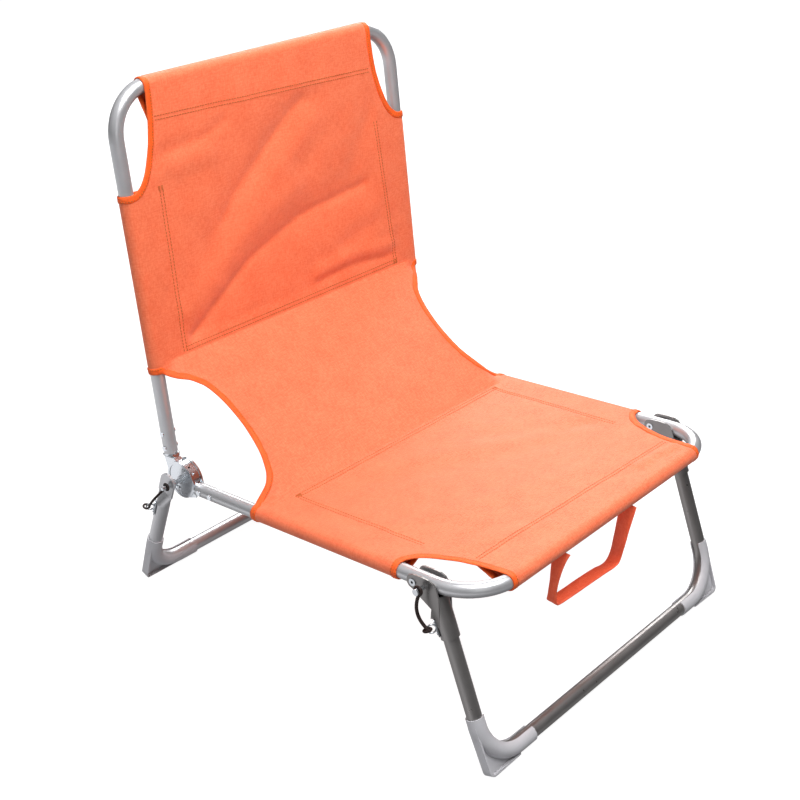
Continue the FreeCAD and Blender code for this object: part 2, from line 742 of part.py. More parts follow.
def cloth_panel(plane, over, low, far, cut_x, cut):
    """Flat panel between the rails, with its two corner cut-outs."""
    arc = ellipse_points(RAIL_X, far, cut_x + BINDING + 0.3,
                         cut + BINDING + 1.0, 1)
    lower = [(LOOSE_X + 0.5, SEAM + 0.6),
             (LOOSE_X + 0.5, low + BINDING + 0.3),
             (RAIL_X, low + BINDING + 0.3)]
    half = lower + arc
    return sheet(plane, half + mirrored(half), over + 0.1, over + CLOTH - 0.1)


def sleeve(plane, over, x, start, end):
    outer = rod(plane.at(start, over, x), plane.at(end, over, x),
                SLEEVE_R + CLOTH)
    return outer.cut(rod(plane.at(start, over, x), plane.at(end, over, x),
                         SLEEVE_R))


def round_bar(plane, set_, far, bend, r):
    """Round solid along a frame's far bar and its two bends."""
    return sweep(bent(u_points(plane, far - bend - 5, set_, far), bend), r)


def bar_hem(plane, set_, far, bend, x0, x1, thick):
    """Solid of a bar's hem between two places along X, bar space filled."""
    a, b = far - 40, far + 40
    low, high = set_ - 40, set_ + 40
    box = slab(plane, [(a, low), (b, low), (b, high), (a, high)], x0, x1)
    return round_bar(plane, set_, far, bend, SLEEVE_R + thick).common(box)


def sling(plane, set_, low, far, cut_x, cut, bend):
    """Cloth of one frame: panel, two side sleeves and a bar sleeve."""
    half = RAIL_X - cut_x - BINDING - 0.3
    hem = bar_hem(plane, set_, far, bend, -half, half, CLOTH)
    panel = cloth_panel(plane, set_ + SLEEVE_R, low, far, cut_x, cut)
    parts = [panel, hem]
    for _, side in SIDES:
        parts.append(sleeve(plane, set_, side * RAIL_X,
                            low + BINDING + 0.3, far - cut - BINDING - 0.3))
    return joined(parts).cut(round_bar(plane, set_, far, bend, SLEEVE_R))


def corner_binding(plane, set_, far, cut_x, cut, bend, side):
    """Tape round one corner cut-out, from rail to bar."""
    edge = ellipse_points(RAIL_X, far, cut_x, cut, side)
    back = ellipse_points(RAIL_X, far, cut_x + BINDING, cut + BINDING, side)
    over = set_ + SLEEVE_R
    tape = sheet(plane, edge + list(reversed(back)), over + 0.2, over + 1.8)
    x = side * RAIL_X
    ring = rod(plane.at(far - cut - BINDING, set_, x),
               plane.at(far - cut, set_, x), SLEEVE_R + 1.5)
    hem = bar_hem(plane, set_, far, bend, x - side * cut_x,
                  x - side * (cut_x + BINDING), 1.5)
    body = joined([tape, ring, hem])
    body = body.cut(rod(plane.at(far - cut - 30, set_, x),
                        plane.at(far - cut + 20, set_, x), SLEEVE_R))
    return body.cut(round_bar(plane, set_, far, bend, SLEEVE_R))


def waist_binding(plane, set_, low, side):
    """Tape round the end of a side sleeve, with a short tab inwards."""
    over = set_ + SLEEVE_R
    x = side * RAIL_X
    near = side * (LOOSE_X + 3.5)
    pts = [(x, low), (near, low), (near, low + BINDING), (x, low + BINDING)]
    tape = sheet(plane, pts, over, over + 1.8)
    ring = rod(plane.at(low, set_, x), plane.at(low + BINDING, set_, x),
               SLEEVE_R + 1.5)
    body = joined([tape, ring])
    return body.cut(rod(plane.at(low - 30, set_, x),
                        plane.at(low + 60, set_, x), SLEEVE_R))


def middle_plane():
    """Plane of the cloth stretched straight between the cross seams."""
    b = BACK.at(SEAM, SLEEVE_R - BACK_SET + CLOTH / 2)
    s = SEAT.at(SEAM, SLEEVE_R - RAIL_DROP + CLOTH / 2)
    way = math.degrees(math.atan2(s.z - b.z, s.y - b.y))
    return Plane(b.y, b.z, way, way - 90.0), s.sub(b).Length


MIDDLE, MIDDLE_SPAN = middle_plane()
# Cut edge of the middle: half widths at distances from the back's seam.
WAIST_EDGE = [(228.0, 32.0), (220.3, 41.8), (213.2, 50.6), (207.5, 64.9),
              (202.9, 85.3), (200.5, 114.7), (201.7, 141.0), (206.2, 168.0),
              (213.7, 189.4), (218.1, 198.4), (226.6, 208.3)]


def inward(edge, gap):
    """Edge points moved towards the middle of the cloth."""
    return [(x - gap, a) for x, a in edge]


def middle_binding(side):
    """Tape along one cut edge of the middle cloth."""
    edge = WAIST_EDGE
    ring = edge + list(reversed(inward(edge, BINDING)))
    return sheet(MIDDLE, [(side * x, a) for x, a in ring], -0.4, 1.4)


def middle_cloth():
    """Cloth between the seams, inside its two tapes."""
    inner = inward(WAIST_EDGE[1:-1], BINDING + 0.3)
    half = [(LOOSE_X, 1.5), (LOOSE_X, 24.0), (LOOSE_X - 6, 30.0)]
    half += inner
    half += [(LOOSE_X - 6, 210.0), (LOOSE_X, 215.0),
             (LOOSE_X, MIDDLE_SPAN - 1.5)]
    return sheet(MIDDLE, half + mirrored(half), -CLOTH / 2, CLOTH / 2)


# --------------------------------------------------------------- carry strap
STRAP_X0 = -104.0
STRAP_X1 = 50.0
STRAP_DROP0 = 80.0
STRAP_DROP1 = 94.0
STRAP_HALF_W = 12.0
STRAP_THICK = 2.4


def carry_strap():
    """Loop of folded cloth hanging under the front bar."""
    bar = SEAT.at(SEAT_REACH, -RAIL_DROP)
    top = bar.z - SLEEVE_R - CLOTH - 0.4
    t = STRAP_THICK
    outer = [(STRAP_X0, top), (STRAP_X0, bar.z - STRAP_DROP0),
             (STRAP_X1, bar.z - STRAP_DROP1), (STRAP_X1, top)]
    inner = [(STRAP_X1 - t, top), (STRAP_X1 - t, bar.z - STRAP_DROP1 + t),
             (STRAP_X0 + t, bar.z - STRAP_DROP0 + t), (STRAP_X0 + t, top)]
    pts = [FreeCAD.Vector(x, bar.y - STRAP_HALF_W, z)
           for x, z in outer + inner]
    face = Part.Face(Part.makePolygon(pts + pts[:1]))
    return face.extrude(FreeCAD.Vector(0, 2 * STRAP_HALF_W, 0))


# --------------------------------------------------------------------- build
save("seat_tube", seat_tube())
save("back_tube", back_tube())
save("front_leg_tube", front_leg_tube())
save("rear_leg_tube", rear_leg_tube())

for name, side in SIDES:
    save("hinge_outer_plate_" + name, hinge_plate(side, 1))
    save("hinge_inner_plate_" + name, hinge_plate(side, -1))
    save("hinge_hub_" + name, hinge_hub(side))
    save("hinge_pawl_" + name, pawl(side))
    save("hinge_pawl_pin_" + name, pawl_pin(side, PAWL_ANGLE))
    save("hinge_spring_pin_" + name, pawl_pin(side, PAWL_ANGLE - 180))
    save("hinge_pawl_spring_" + name, pawl_spring(side))
    save("hinge_axle_" + name, axle(side))
    save("axle_spacer_" + name, axle_spacer(side))
    save("front_bracket_" + name, bracket(side))
    save("front_pivot_rivet_" + name, pivot_rivet(side))
    save("front_lock_pin_" + name, lock_pin(side))
    save("front_rubber_strap_" + name, front_strap(side))
    save("rear_rubber_strap_" + name, rear_strap(side))
    save("front_catch_clip_" + name,
         catch_clip(FRONT, FRONT_SET, RAIL_X, side, CLIP_RIVETS_FRONT))
    save("rear_catch_clip_" + name,
         catch_clip(REAR, REAR_SET, REAR_LEG_X, side, CLIP_RIVETS_REAR))
    save("front_foot_" + name,
         foot(FRONT, FRONT_SET, FRONT_REACH, RAIL_X, side))
    save("rear_foot_" + name,
         foot(REAR, REAR_SET, REAR_REACH, REAR_LEG_X, side))
    save("back_waist_binding_" + name,
         waist_binding(BACK, -BACK_SET, BACK_CLOTH_LOW, side))
    save("seat_waist_binding_" + name,
         waist_binding(SEAT, -RAIL_DROP, SEAT_CLOTH_LOW, side))
    save("middle_binding_" + name, middle_binding(side))

top_tape = corner_binding(BACK, -BACK_SET, BACK_REACH, BACK_CUT_X, BACK_CUT,
                          BACK_BEND_R, -1)
front_tape = corner_binding(SEAT, -RAIL_DROP, SEAT_REACH, SEAT_CUT_X, SEAT_CUT,
                            SEAT_BEND_R, 1)
save("top_binding_right", top_tape)
save("top_binding_left", other_side(top_tape))
save("front_binding_left", front_tape)
save("front_binding_right", other_side(front_tape))
save("back_socket_rivets", socket_rivets(BACK, -BACK_SET, (41, 62)))
save("seat_socket_rivets", socket_rivets(SEAT, -RAIL_DROP, (35, 57)))
save("front_clip_rivets",
     clip_rivets(FRONT, FRONT_SET, RAIL_X, CLIP_RIVETS_FRONT))
save("rear_clip_rivets",
     clip_rivets(REAR, REAR_SET, REAR_LEG_X, CLIP_RIVETS_REAR))
save("back_sling",
     sling(BACK, -BACK_SET, BACK_CLOTH_LOW, BACK_REACH, BACK_CUT_X, BACK_CUT,
           BACK_BEND_R))
save("seat_sling",
     sling(SEAT, -RAIL_DROP, SEAT_CLOTH_LOW, SEAT_REACH, SEAT_CUT_X, SEAT_CUT,
           SEAT_BEND_R))
save("middle_sling", middle_cloth())
save("carry_strap", carry_strap())
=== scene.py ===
import json
import math

import bpy
import bmesh
from mathutils import Matrix, Vector, noise


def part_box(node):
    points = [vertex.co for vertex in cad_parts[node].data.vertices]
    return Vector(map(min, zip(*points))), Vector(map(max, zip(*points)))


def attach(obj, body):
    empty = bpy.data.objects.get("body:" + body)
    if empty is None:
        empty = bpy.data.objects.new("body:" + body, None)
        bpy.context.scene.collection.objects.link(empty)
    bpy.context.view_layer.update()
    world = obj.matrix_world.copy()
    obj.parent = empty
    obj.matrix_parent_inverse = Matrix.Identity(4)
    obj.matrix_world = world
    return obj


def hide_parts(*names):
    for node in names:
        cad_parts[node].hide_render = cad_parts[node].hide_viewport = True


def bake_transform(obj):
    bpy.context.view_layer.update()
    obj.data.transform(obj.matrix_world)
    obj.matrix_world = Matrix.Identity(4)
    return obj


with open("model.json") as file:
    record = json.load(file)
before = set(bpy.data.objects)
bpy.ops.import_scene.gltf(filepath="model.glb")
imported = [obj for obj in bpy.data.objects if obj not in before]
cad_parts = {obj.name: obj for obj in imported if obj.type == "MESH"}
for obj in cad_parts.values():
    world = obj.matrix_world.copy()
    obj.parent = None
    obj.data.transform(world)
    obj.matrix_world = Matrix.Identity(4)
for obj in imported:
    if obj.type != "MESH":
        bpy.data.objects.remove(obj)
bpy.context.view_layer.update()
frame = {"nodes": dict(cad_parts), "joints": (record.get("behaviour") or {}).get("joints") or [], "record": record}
scene = bpy.context.scene
joints = {j["name"]: j for j in frame["joints"]}

# Every length is in metres, in the CAD frame: X across, -Y the front, +Z up.
TUBE_R = 0.0095
SEAT_TILT = math.radians(8.0)
BACK_LEAN = math.radians(10.0)
HINGE = Vector(joints["back_recline"]["pos_m"])
RAIL_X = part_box("seat_tube")[1].x - TUBE_R
CLOTH_R = 0.0103            # tube centre to the middle of the cloth
CLOTH_T = 0.0009
BACK_OVER = -0.0225         # tube centrelines, measured from the hinge axis
SEAT_OVER = -0.0095
BACK_FAR = 0.512
SEAT_FAR = 0.505
BACK_LOW = 0.148            # lower ends of the side hems
SEAT_LOW = 0.138
SEAM = 0.160                # cross seams, where the cloth leaves each frame
BAR_HEM = 0.048             # hem widths, from a tube's centre to its stitches
SIDE_HEM = 0.045
HEM_GAP = 0.0014            # from the front cloth to a hem's end behind it
FOLD_DEPTH = 1.35           # scale of every fold height below
SIDES = (("right", -1), ("left", 1))
TINY = 1e-9                 # for comparing lengths


# ------------------------------------------------------------------- helpers
class Plane:
    """Directions along a frame and over it, towards the sitter."""

    def __init__(self, along, over):
        self.u = Vector((0, math.cos(along), math.sin(along)))
        self.v = Vector((0, math.cos(over), math.sin(over)))

    def at(self, along, over, x=0.0):
        """Point at these distances from the hinge axis."""
        p = HINGE + self.u * along + self.v * over
        return Vector((x, p.y, p.z))


SEAT = Plane(math.pi - SEAT_TILT, math.pi / 2 - SEAT_TILT)
BACK = Plane(math.pi / 2 - BACK_LEAN, math.pi - BACK_LEAN)


def smooth(t):
    """Rises from 0 to 1 with t, level at both ends."""
    t = min(1.0, max(0.0, t))
    return t * t * (3 - 2 * t)


def grain(x, y, seed, size):
    """Smooth noise whose lumps are about this size."""
    return noise.noise(Vector((x / size, y / size, seed * 7.31)))


def add_mesh(name, verts, faces, uvs, material, weld=0.0):
    """Mesh object with one UV layer, in metres along the cloth."""
    mesh = bpy.data.meshes.new(name)
    mesh.from_pydata([tuple(v) for v in verts], [], faces)
    layer = mesh.uv_layers.new(name="cloth")
    for loop in mesh.loops:
        layer.data[loop.index].uv = uvs[loop.vertex_index]
    obj = bpy.data.objects.new(name, mesh)
    scene.collection.objects.link(obj)
    if weld:
        bm = bmesh.new()
        bm.from_mesh(mesh)
        bmesh.ops.remove_doubles(bm, verts=bm.verts, dist=weld)
        bmesh.ops.recalc_face_normals(bm, faces=bm.faces)
        bm.to_mesh(mesh)
        bm.free()
    mesh.materials.append(material)
    mesh.shade_smooth()
    return obj


def grid(verts, uvs, faces, rows, closed=False):
    """Adds rows of (point, uv) as a grid of quads."""
    base = len(verts)
    width = len(rows[0])
    for row in rows:
        for p, uv in row:
            verts.append(p)
            uvs.append(uv)
    for i in range(len(rows) - 1):
        for j in range(width if closed else width - 1):
            k = (j + 1) % width
            a, b = base + i * width, base + (i + 1) * width
            faces.append((a + j, a + k, b + k, b + j))


# ----------------------------------------------------------------- materials
def material(name):
    """New material, with its nodes, its links and its main shader."""
    m = bpy.data.materials.new(name)
    m.use_nodes = True
    nodes = m.node_tree.nodes
    return m, nodes, m.node_tree.links, nodes["Principled BSDF"]


def node(nodes, kind, **values):
    """New node: each value is for an input or else a setting."""
    n = nodes.new(kind)
    for key, value in values.items():
        if key in n.inputs:
            n.inputs[key].default_value = value
        else:
            setattr(n, key, value)
    return n


def scaled(nodes, links, source, scale):
    """Coordinates multiplied by a scale along each axis."""
    m = node(nodes, "ShaderNodeMapping")
    m.inputs["Scale"].default_value = scale
    links.new(source, m.inputs["Vector"])
    return m.outputs["Vector"]


def math_node(nodes, links, op, a, b=None):
    """Result of one operation on sockets or numbers."""
    n = node(nodes, "ShaderNodeMath", operation=op)
    for socket, value in zip(n.inputs, (a, b)):
        if value is None:
            continue
        if isinstance(value, (int, float)):
            socket.default_value = value
        else:
            links.new(value, socket)
    return n.outputs[0]


def mixed(nodes, links, factor, a, b):
    """Colour between a and b, each a socket or a colour."""
    n = node(nodes, "ShaderNodeMix", data_type="RGBA")
    pairs = ((n.inputs[0], factor), (n.inputs[6], a), (n.inputs[7], b))
    for socket, value in pairs:
        if isinstance(value, bpy.types.NodeSocket):
            links.new(value, socket)
        else:
            socket.default_value = value
    return n.outputs[2]


def ranged(nodes, links, value, lo, hi, out_lo, out_hi):
    """Value carried from the range lo to hi into another range."""
    n = nodes.new("ShaderNodeMapRange")
    links.new(value, n.inputs[0])
    for socket, number in zip(n.inputs[1:5], (lo, hi, out_lo, out_hi)):
        socket.default_value = number
    return n.outputs[0]


def bumped(nodes, links, bsdf, height, strength, distance):
    """Gives the main shader a bump from a height."""
    n = node(nodes, "ShaderNodeBump", Strength=strength, Distance=distance)
    links.new(height, n.inputs["Height"])
    links.new(n.outputs[0], bsdf.inputs["Normal"])


def weave_height(nodes, links, uv, pitch):
    """Plain weave: over and under threads from two crossed waves."""
    sep = node(nodes, "ShaderNodeSeparateXYZ")
    links.new(scaled(nodes, links, uv, (math.pi / pitch,) * 3), sep.inputs[0])
    warp = math_node(nodes, links, "SINE", sep.outputs[0])
    weft = math_node(nodes, links, "SINE", sep.outputs[1])
    warp_height = math_node(nodes, links, "ABSOLUTE", warp)
    weft_height = math_node(nodes, links, "ABSOLUTE", weft)
    both = math_node(nodes, links, "MULTIPLY", warp, weft)
    over = math_node(nodes, links, "GREATER_THAN", both, 0.0)
    under = math_node(nodes, links, "SUBTRACT", 1.0, over)
    return math_node(nodes, links, "ADD",
                     math_node(nodes, links, "MULTIPLY", warp_height, over),
                     math_node(nodes, links, "MULTIPLY", weft_height, under))


def cloth_material(name, dark, light, pitch, rough, sheen):
    """Woven cloth with uneven threads and faint blotches."""
    m, nodes, links, bsdf = material(name)
    uv = node(nodes, "ShaderNodeUVMap", uv_map="cloth").outputs[0]
    weave = weave_height(nodes, links, uv, pitch)
    blotch = node(nodes, "ShaderNodeTexNoise", Scale=34.0, Detail=4.0)
    links.new(uv, blotch.inputs["Vector"])
    slub = []
    for scale, stretch in ((520.0, (1.0, 0.25, 1.0)),
                           (480.0, (0.25, 1.0, 1.0))):
        thick = node(nodes, "ShaderNodeTexNoise", Scale=scale, Detail=2.0)
        links.new(scaled(nodes, links, uv, stretch), thick.inputs["Vector"])
        slub.append(thick.outputs[0])
    both = math_node(nodes, links, "ADD", *slub)
    tone = ranged(nodes, links, both, 0.80, 1.20, 0.36, 0.70)
    tone = math_node(nodes, links, "ADD", tone,
                     ranged(nodes, links, weave, 0.0, 1.0, -0.20, 0.12))
    tone = math_node(nodes, links, "ADD", tone,
                     ranged(nodes, links, blotch.outputs[0],
                            0.3, 0.7, -0.12, 0.12))
    links.new(mixed(nodes, links, tone, dark, light),
              bsdf.inputs["Base Color"])
    links.new(ranged(nodes, links, both, 0.6, 1.4, rough + 0.06, rough - 0.08),
              bsdf.inputs["Roughness"])
    bsdf.inputs["Sheen Weight"].default_value = sheen
    bsdf.inputs["Sheen Roughness"].default_value = 0.45
    bsdf.inputs["Sheen Tint"].default_value = (1.0, 0.74, 0.62, 1.0)
    bsdf.inputs["Specular IOR Level"].default_value = 0.5
    height = math_node(nodes, links, "ADD", weave,
                       math_node(nodes, links, "MULTIPLY", both, 0.6))
    bumped(nodes, links, bsdf, height, 0.55, 0.00025)
    return m


def thread_material():
    """Twisted sewing thread."""
    m, nodes, links, bsdf = material("thread")
    co = node(nodes, "ShaderNodeTexCoord").outputs["Object"]
    twist = node(nodes, "ShaderNodeTexWave", Scale=900.0, Distortion=1.5)
    twist.bands_direction = "DIAGONAL"
    links.new(co, twist.inputs["Vector"])
    links.new(mixed(nodes, links, twist.outputs["Fac"],
                    (0.38, 0.080, 0.008, 1), (0.56, 0.140, 0.020, 1)),
              bsdf.inputs["Base Color"])
    bsdf.inputs["Roughness"].default_value = 0.55
    bumped(nodes, links, bsdf, twist.outputs["Fac"], 0.5, 0.0001)
    return m


def metal_material(name, dark, light, rough_lo, rough_hi, metallic, grain_mm):
    """Metal with faint streaks, smudges and small dents from handling."""
    m, nodes, links, bsdf = material(name)
    co = node(nodes, "ShaderNodeTexCoord").outputs["Object"]
    fine = node(nodes, "ShaderNodeTexNoise", Scale=1000.0 / grain_mm,
                Detail=3.0)
    smudge = node(nodes, "ShaderNodeTexNoise", Scale=42.0, Detail=5.0,
                  Roughness=0.62)
    links.new(co, fine.inputs["Vector"])
    links.new(co, smudge.inputs["Vector"])
    tone = math_node(nodes, links, "ADD",
                     math_node(nodes, links, "MULTIPLY", fine.outputs[0], 0.6),
                     math_node(nodes, links, "MULTIPLY", smudge.outputs[0],
                               0.4))
    links.new(mixed(nodes, links, tone, dark, light),
              bsdf.inputs["Base Color"])
    bsdf.inputs["Metallic"].default_value = metallic
    links.new(ranged(nodes, links, smudge.outputs[0], 0.3, 0.7,
                     rough_lo, rough_hi), bsdf.inputs["Roughness"])
    bumped(nodes, links, bsdf, fine.outputs[0], 0.12, 0.0001)
    return m


def plastic_material():
    """Moulded plastic with fine pits, scuffed where it meets the ground."""
    m, nodes, links, bsdf = material("foot_plastic_moulded")
    co = node(nodes, "ShaderNodeTexCoord").outputs["Object"]
    pits = node(nodes, "ShaderNodeTexVoronoi", Scale=1400.0)
    cloud = node(nodes, "ShaderNodeTexNoise", Scale=60.0, Detail=5.0)
    links.new(co, pits.inputs["Vector"])
    links.new(co, cloud.inputs["Vector"])
    sep = node(nodes, "ShaderNodeSeparateXYZ")
    links.new(co, sep.inputs[0])
    low = ranged(nodes, links, sep.outputs[2], 0.0, 0.012, 1.0, 0.0)
    scuff = math_node(nodes, links, "MULTIPLY", low, cloud.outputs[0])
    base = mixed(nodes, links, cloud.outputs[0],
                 (0.50, 0.495, 0.52, 1), (0.58, 0.575, 0.60, 1))
    links.new(mixed(nodes, links, scuff, base, (0.20, 0.19, 0.19, 1)),
              bsdf.inputs["Base Color"])
    links.new(ranged(nodes, links, cloud.outputs[0], 0.3, 0.7, 0.38, 0.52),
              bsdf.inputs["Roughness"])
    bumped(nodes, links, bsdf, pits.outputs["Distance"], 0.15, 0.0002)
    return m


def rubber_material():
    """Dark moulded rubber."""
    m, nodes, links, bsdf = material("rubber_moulded")
    co = node(nodes, "ShaderNodeTexCoord").outputs["Object"]
    cloud = node(nodes, "ShaderNodeTexNoise", Scale=300.0, Detail=4.0)
    links.new(co, cloud.inputs["Vector"])
    links.new(mixed(nodes, links, cloud.outputs[0],
                    (0.010, 0.005, 0.004, 1), (0.030, 0.016, 0.013, 1)),
              bsdf.inputs["Base Color"])
    links.new(ranged(nodes, links, cloud.outputs[0], 0.3, 0.7, 0.42, 0.6),
              bsdf.inputs["Roughness"])
    bsdf.inputs["Specular IOR Level"].default_value = 0.3
    bumped(nodes, links, bsdf, cloud.outputs[0], 0.2, 0.0002)
    return m


CLOTH = cloth_material("sling_cloth", (0.79, 0.096, 0.022, 1),
                       (0.99, 0.242, 0.104, 1), 0.0011, 0.64, 0.34)
TAPE = cloth_material("binding_tape", (0.84, 0.075, 0.002, 1),
                      (1.0, 0.150, 0.010, 1), 0.0009, 0.6, 0.05)
STRAP = cloth_material("strap_cloth", (0.80, 0.085, 0.025, 1),
                       (0.98, 0.155, 0.06, 1), 0.0010, 0.72, 0.12)
THREAD = thread_material()
FINISH = {
    "frame_paint": metal_material("frame_silver", (0.46, 0.46, 0.47, 1),
                                  (0.62, 0.62, 0.64, 1), 0.28, 0.40, 0.6,
                                  0.5),
    "zinc": metal_material("bright_zinc", (0.56, 0.59, 0.62, 1),
                           (0.74, 0.76, 0.79, 1), 0.16, 0.28, 1.0, 0.8),
    "spring_steel": metal_material("spring_wire", (0.35, 0.34, 0.33, 1),
                                   (0.55, 0.54, 0.52, 1), 0.25, 0.4, 1.0,
                                   0.6),
    "foot_plastic": plastic_material(),
    "rubber": rubber_material(),
    "cloth": CLOTH,
    "tape": TAPE,
}
# The front legs and their brackets get a darker copy of the frame silver: painted shade for the seat's shadow over
# them.
LEG_SILVER_PAINTED_SHADE = metal_material("leg_silver_painted_shade", (0.20, 0.19, 0.185, 1),
                            (0.30, 0.285, 0.28, 1), 0.26, 0.40, 0.7, 0.5)
for part in frame["record"]["subparts"]:
    data = frame["nodes"][part["node"]].data
    finish = FINISH[part["material_slot"]]
    # Painted shade: the front legs' parts take the darker copy of the frame silver.
    if part["node"].startswith(("front_leg", "front_bracket")):
        finish = LEG_SILVER_PAINTED_SHADE
    data.materials.clear()
    data.materials.append(finish)


# --------------------------------------------------------------------- sling
BACK_FOLDS = (
    # line of (x, along) points, half width, height
    (((-0.188, 0.178), (-0.072, 0.249), (-0.021, 0.266), (0.031, 0.284),
      (0.164, 0.297)), 0.0075, -0.0022),
    (((-0.188, 0.178), (-0.072, 0.249), (0.031, 0.284), (0.164, 0.297)),
     0.030, -0.0030),
    (((-0.185, 0.205), (-0.080, 0.285), (0.020, 0.325)), 0.024, 0.0030),
    (((-0.106, 0.312), (-0.083, 0.341), (0.032, 0.426), (0.059, 0.442)),
     0.008, -0.0015),
    (((-0.130, 0.295), (-0.083, 0.341), (0.032, 0.426), (0.080, 0.455)),
     0.026, -0.0024),
    (((-0.050, 0.325), (0.070, 0.410)), 0.020, 0.0022),
    (((-0.190, 0.425), (-0.121, 0.430), (-0.085, 0.445)), 0.008, -0.0016),
    (((-0.190, 0.405), (-0.120, 0.410)), 0.014, 0.0014),
    (((0.052, 0.182), (0.119, 0.187), (0.205, 0.176)), 0.006, -0.0015),
    (((0.052, 0.196), (0.119, 0.203), (0.200, 0.196)), 0.011, 0.0024),
    (((0.110, 0.222), (0.200, 0.240)), 0.013, -0.0013),
    (((-0.238, 0.353), (-0.228, 0.320)), 0.005, -0.0010),
    (((-0.236, 0.300), (-0.222, 0.262)), 0.006, 0.0009),
    (((-0.240, 0.250), (-0.224, 0.215)), 0.005, -0.0009),
    (((0.238, 0.345), (0.222, 0.318)), 0.005, -0.0009),
    (((0.140, 0.320), (0.190, 0.400)), 0.018, -0.0016),
    (((-0.020, 0.420), (-0.060, 0.480)), 0.016, 0.0012),
)
SEAT_FOLDS = (
    (((-0.150, 0.190), (0.030, 0.300), (0.120, 0.340)), 0.028, -0.0022),
    (((-0.060, 0.200), (0.120, 0.320)), 0.024, 0.0020),
    (((-0.180, 0.330), (0.060, 0.420)), 0.026, 0.0016),
    (((0.080, 0.250), (0.200, 0.360)), 0.020, -0.0016),
    (((0.138, 0.485), (0.165, 0.494), (0.185, 0.500)), 0.0035, -0.0022),
    (((0.110, 0.478), (0.150, 0.482), (0.184, 0.489)), 0.007, 0.0028),
    (((0.060, 0.466), (0.150, 0.450)), 0.010, -0.0012),
    (((-0.170, 0.430), (-0.080, 0.470)), 0.015, 0.0012),
    (((0.224, 0.360), (0.150, 0.330)), 0.010, -0.0009),
    (((-0.226, 0.350), (-0.160, 0.310)), 0.010, -0.0009),
)


def fold_height(folds, x, along):
    """Height of all folds together at one place on the cloth."""
    total = 0.0
    for line, width, height in folds:
        best = math.inf
        for (x0, a0), (x1, a1) in zip(line, line[1:]):
            dx, da = x1 - x0, a1 - a0
            t = ((x - x0) * dx + (along - a0) * da) / (dx * dx + da * da)
            t = min(1.0, max(0.0, t))
            gap = math.hypot(x - x0 - t * dx, along - a0 - t * da)
            best = min(best, gap)
        if best < 3 * width:
            total += height * math.exp(-(best / width) ** 2)
    return total


BEND_FADE = 0.040           # the cloth follows the bends this far in


class Half:
    """Cloth over one frame, with its bar, bends and two cut-outs."""

    def __init__(self, plane, over, far, low, ease, bend, cut, folds, sag):
        self.plane, self.over, self.far, self.low = plane, over, far, low
        self.ease, self.bend, self.folds, self.sag = ease, bend, folds, sag
        self.cut_x, self.cut = cut
        self.seam = plane.at(SEAM, over + CLOTH_R)
        self.corner = far - self.cut

    def shift(self, x):
        """How far the bar has bent back at this distance from the centre."""
        t = abs(x) - (RAIL_X - self.bend)
        if t <= 0:
            return 0.0
        return self.bend - math.sqrt(self.bend ** 2 - t * t)

    def open_panel(self, x, along):
        """1 in the single layer of cloth, 0 over the hems behind it."""
        side = smooth((RAIL_X - SIDE_HEM - abs(x)) / 0.020)
        bar = smooth((self.far - BAR_HEM - along) / 0.030)
        return side * bar

    def lift(self, x, along):
        """Height of the cloth off the flat plane between the tubes."""
        # It lies flat on the rails, the bar and the cross seam.
        side = smooth((RAIL_X - 0.004 - abs(x)) / 0.030)
        end = smooth((self.far - along) / 0.022)
        low = smooth((along - SEAM) / 0.024)
        bow = -self.sag * (1 - (x / RAIL_X) ** 2)
        bow *= smooth((self.far - along) / 0.16)
        soft = 0.0011 * grain(x, along, 1, 0.055)
        soft += 0.0004 * grain(x, along, 2, 0.016)
        folds = FOLD_DEPTH * fold_height(self.folds, x, along)
        if folds < 0:
            folds *= 0.1 + 0.9 * self.open_panel(x, along)
        return side * end * low * (bow + folds + soft)

    def bent(self, x, reach):
        """Place along the frame, following the bar's bends near the bar."""
        near_bar = smooth(1 + reach / BEND_FADE)
        return self.far + reach - self.shift(x) * near_bar

    def top(self, x, along):
        """Point on the upper cloth."""
        flat = self.plane.at(self.bent(x, along - self.far),
                             self.over + CLOTH_R, x)
        return flat + self.plane.v * self.lift(x, along)

    def round_bar(self, x, q):
        """Point q of a hem's section, round the bar."""
        return self.plane.at(self.bent(x, q.x), self.over + q.y, x)

    def round_rail(self, side, along, q):
        """Point q of a hem's section, round a rail."""
        return self.plane.at(along, self.over + q.y, side * (RAIL_X + q.x))

    def width(self, along):
        """Half width of the cloth beside a corner cut-out."""
        away = (self.far - along) / self.cut
        if away > 1 - TINY:
            return RAIL_X
        return RAIL_X - self.cut_x * math.sqrt(1 - away * away)


BACK_HALF = Half(BACK, BACK_OVER, BACK_FAR, BACK_LOW, 0.222, 0.060,
                 (0.047, 0.127), BACK_FOLDS, 0.0030)
SEAT_HALF = Half(SEAT, SEAT_OVER, SEAT_FAR, SEAT_LOW, 0.212, 0.062,
                 (0.050, 0.118), SEAT_FOLDS, 0.0040)
HALVES = (("back", BACK_HALF), ("seat", SEAT_HALF))
CHORD = SEAT_HALF.seam - BACK_HALF.seam
SPAN = CHORD.length
CHORD.normalize()
CHORD_N = Vector((0, CHORD.z, -CHORD.y))
# Half width of the cloth at distances along the chord.
WAIST = ((0.0083, 0.2500), (0.0253, 0.2369), (0.0349, 0.2264),
         (0.0418, 0.2203), (0.0506, 0.2132), (0.0649, 0.2075),
         (0.0853, 0.2029), (0.1147, 0.2005), (0.1410, 0.2017),
         (0.1680, 0.2062), (0.1885, 0.2137), (0.1980, 0.2185),
         (0.2080, 0.2268), (0.2150, 0.2383), (0.2213, 0.2500))


